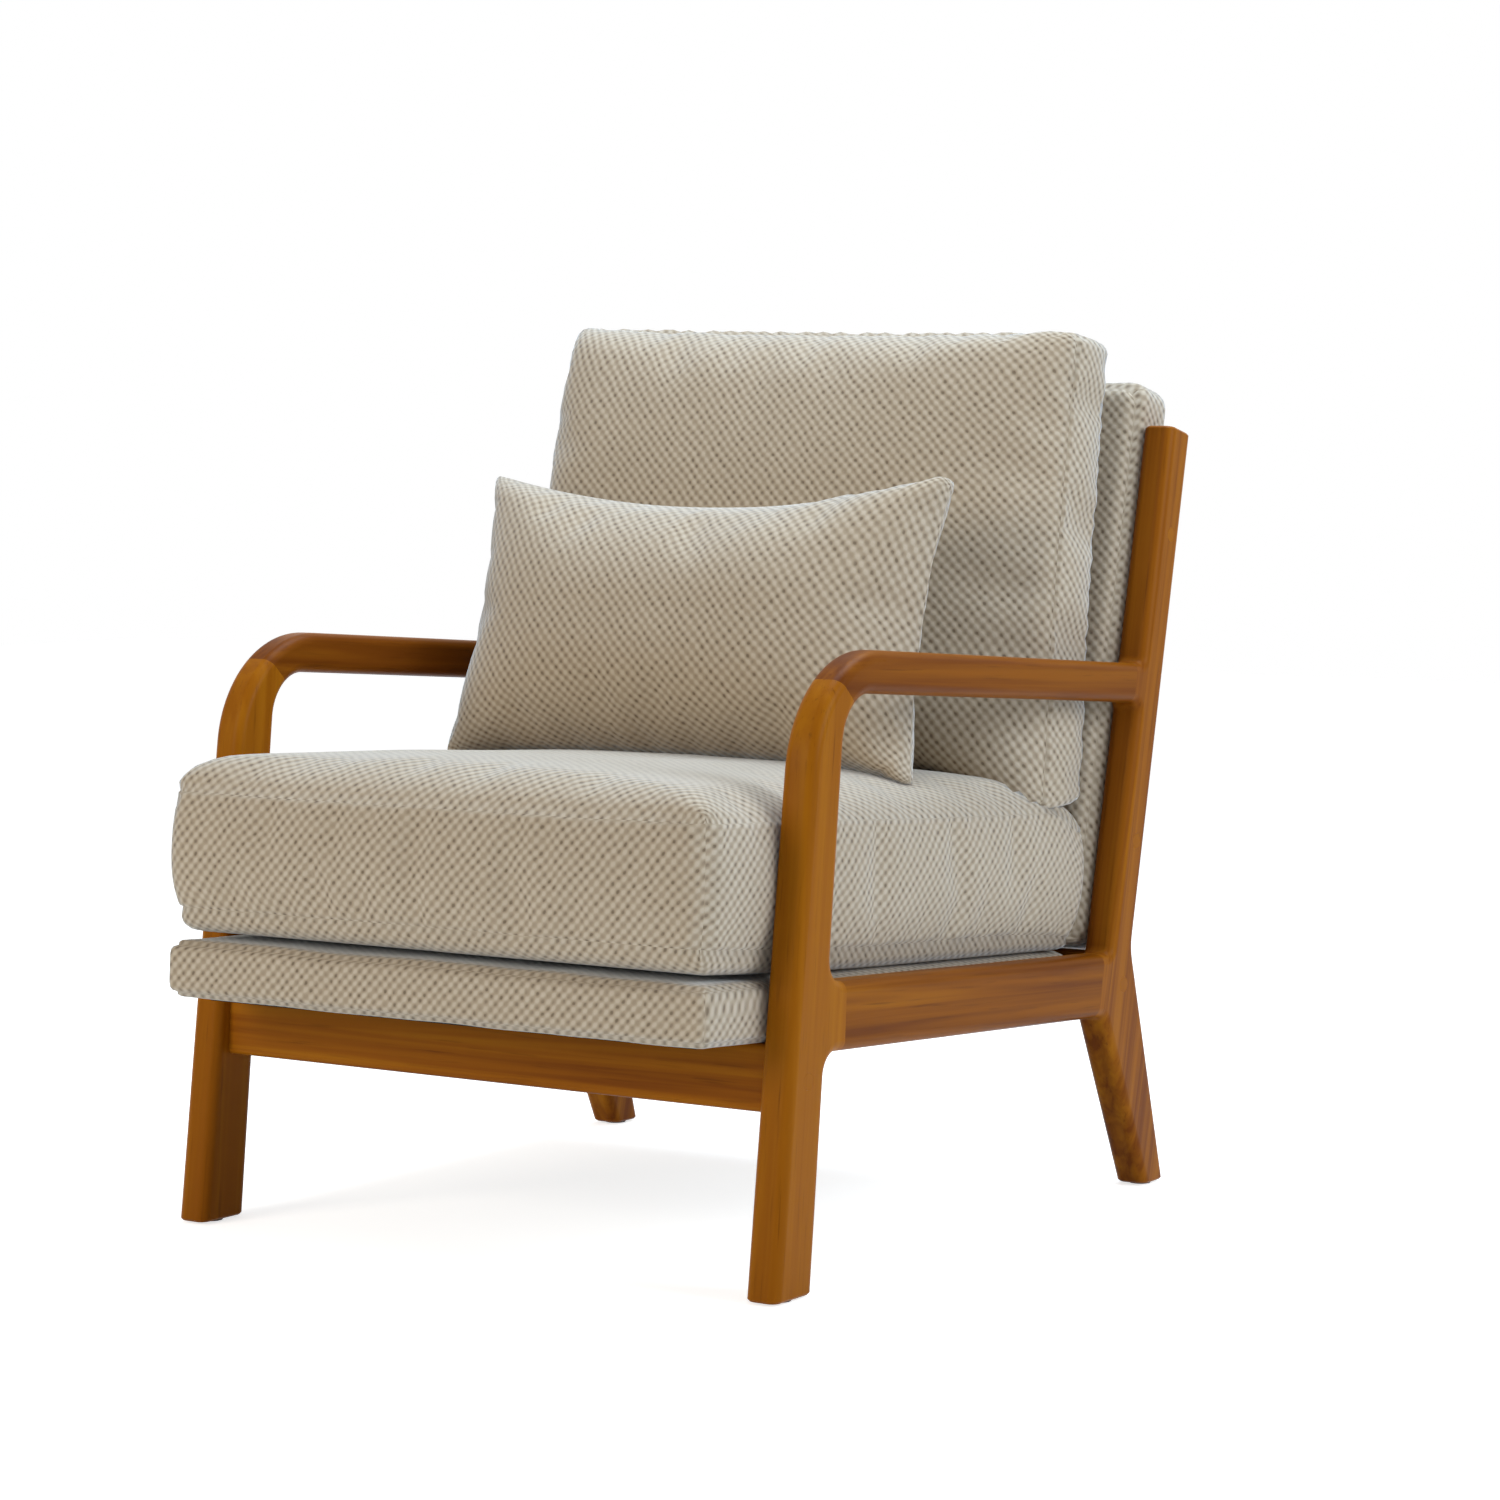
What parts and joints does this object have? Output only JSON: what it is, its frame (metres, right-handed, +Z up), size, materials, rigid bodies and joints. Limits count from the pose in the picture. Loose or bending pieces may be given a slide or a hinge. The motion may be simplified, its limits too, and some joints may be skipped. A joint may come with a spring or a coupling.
{
  "type": "lounge armchair",
  "caption": "Lounge armchair with a bent wood loop frame on each side, an upholstered seat deck and back panel, and a loose seat cushion, back cushion and lumbar pillow.",
  "frame": {"origin": "on the floor, under the middle of the chair's bounding box", "axes": "+X to the right as seen from the front, +Y to the back, +Z up; the chair faces -Y"},
  "size_m": [0.685, 0.8451, 0.8526],
  "materials": {
    "frame_wood": "satin",
    "inner_wood": "matte",
    "cover_fabric": "matte",
    "fill": "matte",
    "webbing": "matte",
    "steel": "satin",
    "glide": "matte",
    "dust_cloth": "matte"
  },
  "bodies": {
    "frame": {"armrest_left": "frame_wood", "armrest_right": "frame_wood", "barrel_nuts": "steel", "bolt_plugs": "frame_wood", "bracket_screws": "steel", "deck_brackets": "steel", "deck_cover": "cover_fabric", "deck_dust_cover": "dust_cloth", "deck_foam": "fill", "deck_front_bar": "inner_wood", "deck_rear_bar": "inner_wood", "deck_screws": "steel", "deck_side_bar_left": "inner_wood", "deck_side_bar_right": "inner_wood", "deck_straps_cross": "webbing", "deck_straps_long": "webbing", "front_glide_left": "glide", "front_glide_right": "glide", "front_leg_left": "frame_wood", "front_leg_right": "frame_wood", "front_rail": "frame_wood", "mitre_dowels": "inner_wood", "panel_bolts": "steel", "panel_bottom_bar": "inner_wood", "panel_cover": "cover_fabric", "panel_foam_front": "fill", "panel_foam_rear": "fill", "panel_inserts": "steel", "panel_stile_left": "inner_wood", "panel_stile_right": "inner_wood", "panel_straps_cross": "webbing", "panel_straps_up": "webbing", "panel_top_bar": "inner_wood", "rail_bolts": "steel", "rail_dowels": "inner_wood", "rear_glide_left": "glide", "rear_glide_right": "glide", "rear_post_left": "frame_wood", "rear_post_right": "frame_wood", "rear_rail": "frame_wood", "side_rail_left": "frame_wood", "side_rail_right": "frame_wood"},
    "seat_cushion": {"seat_cushion_cover": "cover_fabric", "seat_cushion_core": "fill"},
    "back_cushion": {"back_cushion_cover": "cover_fabric", "back_cushion_core": "fill"},
    "lumbar_pillow": {"lumbar_pillow_cover": "cover_fabric", "lumbar_pillow_core": "fill"}
  },
  "joints": [
    {"name": "seat_lift", "type": "slide", "parent": "frame", "child": "seat_cushion", "axis": [0, 0, 1], "range_m": [0, 0.3]},
    {"name": "back_lift", "type": "slide", "parent": "seat_cushion", "child": "back_cushion", "axis": [0, 0.1564, 0.9877], "range_m": [0, 0.3]},
    {"name": "pillow_lift", "type": "slide", "parent": "seat_cushion", "child": "lumbar_pillow", "axis": [0, -0.5, 0.866], "range_m": [0, 0.25]}
  ]
}
